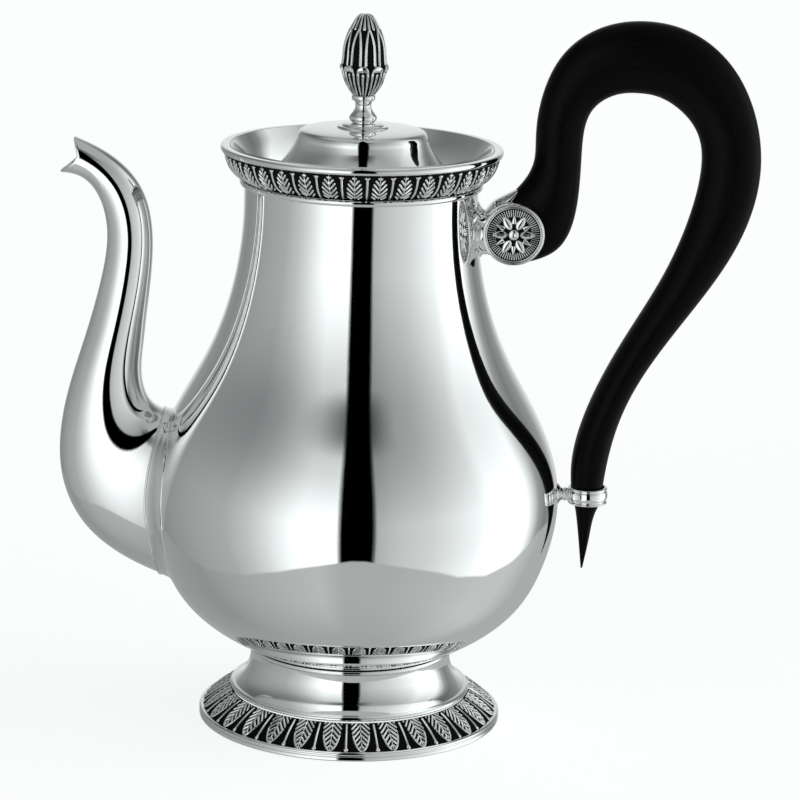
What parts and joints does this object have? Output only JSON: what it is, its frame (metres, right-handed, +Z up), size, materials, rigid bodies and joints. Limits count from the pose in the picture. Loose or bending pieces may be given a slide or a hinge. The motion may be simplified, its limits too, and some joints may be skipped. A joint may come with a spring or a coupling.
{
  "type": "coffee pot",
  "caption": "Pear-shaped metal coffee pot on a spreading foot, with a swan-neck spout, a dark loop handle, leaf borders and a lift-off lid with a bud finial.",
  "frame": {"origin": "middle of the whole object's footprint, on the surface it stands on", "axes": "+Z up along the pot's axis, +X towards the handle, -X towards the spout, +Y across"},
  "size_m": [0.2506, 0.149, 0.26],
  "materials": {
    "silver": "mirror-polished silver plate",
    "oxidised_silver": "polished relief on a dark oxidised ground",
    "ebony": "satin black ebony"
  },
  "bodies": {
    "pot": {"body_shell": "silver", "neck_bead": "silver", "rim_gallery": "oxidised_silver", "rim_lip": "silver", "lid_well": "silver", "foot_joint_ring": "silver", "foot_pedestal": "silver", "foot_bead": "silver", "foot_leaf_border": "oxidised_silver", "foot_base_ring": "silver", "spout": "silver", "spout_collar": "silver", "handle_bracket": "silver", "handle_socket": "silver", "rosette_near": "oxidised_silver", "rosette_far": "oxidised_silver", "socket_pin": "silver", "handle": "ebony", "lower_collar": "silver", "lower_link": "silver", "collar_dowel": "silver"},
    "lid": {"lid_cover": "silver", "lid_bezel": "silver", "finial_base": "silver", "finial_stem": "silver", "finial_bud": "oxidised_silver", "finial_stud": "silver", "finial_washer": "silver", "finial_nut": "silver"}
  },
  "joints": [
    {"name": "lid_lift", "type": "slide", "parent": "pot", "child": "lid", "axis": [0, 0, 1], "range_m": [0, 0.08]}
  ]
}
